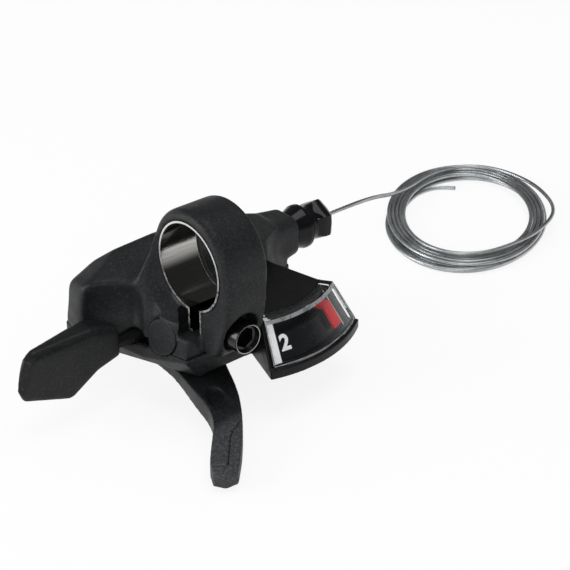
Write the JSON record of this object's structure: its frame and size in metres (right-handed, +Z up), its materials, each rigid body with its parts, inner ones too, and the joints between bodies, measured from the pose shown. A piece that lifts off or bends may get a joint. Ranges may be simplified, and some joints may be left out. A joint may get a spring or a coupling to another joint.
{
  "type": "trigger gear shifter",
  "caption": "Handlebar trigger gear shifter with clamp ring, thumb lever, release trigger, needle gear indicator under a clear window, cable adjuster and coiled inner cable.",
  "frame": {"origin": "centre of the handlebar clamp's bore", "axes": "+X along the bar towards the stem, +Y ahead of the bar, +Z up"},
  "size_m": [0.2033, 0.0915, 0.0524],
  "materials": {
    "housing_plastic": "fine-grained matte black",
    "lever_plastic": "satin black",
    "grip_rubber": "matte",
    "inner_plastic": "natural",
    "adjuster_gloss": "polished black",
    "dial_gloss": "gloss black with white numerals",
    "needle_red": "red",
    "clear_window": "clear",
    "stainless": "brushed",
    "plated_steel": "plated",
    "black_steel": "black with worn edges",
    "cable_steel": "stranded"
  },
  "bodies": {
    "housing": {"bracket": "housing_plastic", "lower_cover": "housing_plastic", "cable_port_plug": "housing_plastic", "clamp_liner": "stainless", "clamp_bolt": "black_steel", "clamp_nut": "plated_steel", "cover_screws": "black_steel", "base_plate": "plated_steel", "spindle_bolt": "plated_steel", "spindle_washer": "plated_steel", "hold_pawl_pin": "plated_steel", "needle_pin": "plated_steel", "dial_plate": "dial_gloss", "indicator_lens": "clear_window", "indicator_top": "housing_plastic", "indicator_base": "housing_plastic", "cable_inner": "cable_steel", "cable_lead": "cable_steel", "cable_coil": "cable_steel"},
    "main_lever": {"thumb_lever": "lever_plastic", "thumb_lever_cap": "grip_rubber", "drive_plate": "plated_steel", "feed_pawl_pin": "plated_steel"},
    "feed_pawl_arm": {"feed_pawl": "plated_steel"},
    "drum": {"winder": "inner_plastic", "ratchet_plate": "plated_steel", "return_spring": "stainless", "cable_nipple": "plated_steel"},
    "indicator_needle": {"needle": "needle_red"},
    "release_trigger": {"trigger_plate": "black_steel", "trigger_lever": "lever_plastic"},
    "hold_pawl_arm": {"hold_pawl": "plated_steel"},
    "adjuster_barrel": {"adjuster_collar": "adjuster_gloss"},
    "adjuster_grip": {"adjuster_knob": "adjuster_gloss"}
  },
  "joints": [
    {"name": "thumb_lever_swing", "type": "hinge", "parent": "housing", "child": "main_lever", "pos_m": [0.002, 0.0148, -0.03], "axis": [0, 0, 1], "range_deg": [0, 28], "stiffness_Nm_per_rad": 0.4, "springref_deg": -17.19},
    {"name": "winder_turn", "type": "hinge", "parent": "housing", "child": "drum", "pos_m": [0.002, 0.0148, -0.016], "axis": [0, 0, 1], "range_deg": [0, 28]},
    {"name": "needle_turn", "type": "hinge", "parent": "housing", "child": "indicator_needle", "pos_m": [0.017, 0.0169, -0.019], "axis": [0, 0, 1], "range_deg": [-28, 0]},
    {"name": "feed_pawl_lift", "type": "hinge", "parent": "main_lever", "child": "feed_pawl_arm", "pos_m": [0.00665, 0.00202, -0.0205], "axis": [0, 0, 1], "range_deg": [-8, 0], "stiffness_Nm_per_rad": 0.01, "springref_deg": 11.46},
    {"name": "trigger_swing", "type": "hinge", "parent": "housing", "child": "release_trigger", "pos_m": [0.002, 0.0148, -0.022], "axis": [0, 0, 1], "range_deg": [0, 12], "stiffness_Nm_per_rad": 0.3, "springref_deg": -17.19},
    {"name": "hold_pawl_lift", "type": "hinge", "parent": "housing", "child": "hold_pawl_arm", "pos_m": [0.00921, 0.02633, -0.0205], "axis": [0, 0, 1], "range_deg": [-7.2, 0]},
    {"name": "adjuster_travel", "type": "slide", "parent": "housing", "child": "adjuster_barrel", "axis": [1, 0, 0], "range_m": [0, 0.003]},
    {"name": "adjuster_turn", "type": "hinge", "parent": "adjuster_barrel", "child": "adjuster_grip", "pos_m": [0.056, 0.0225, -0.016], "axis": [1, 0, 0], "range_deg": [0, 1080]}
  ],
  "couplings": [
    {"joint": "winder_turn", "follows": "thumb_lever_swing", "ratio": 1},
    {"joint": "needle_turn", "follows": "thumb_lever_swing", "ratio": -1},
    {"joint": "hold_pawl_lift", "follows": "trigger_swing", "ratio": -0.6},
    {"joint": "adjuster_turn", "follows": "adjuster_travel", "rad_per_m": 6283.2}
  ]
}
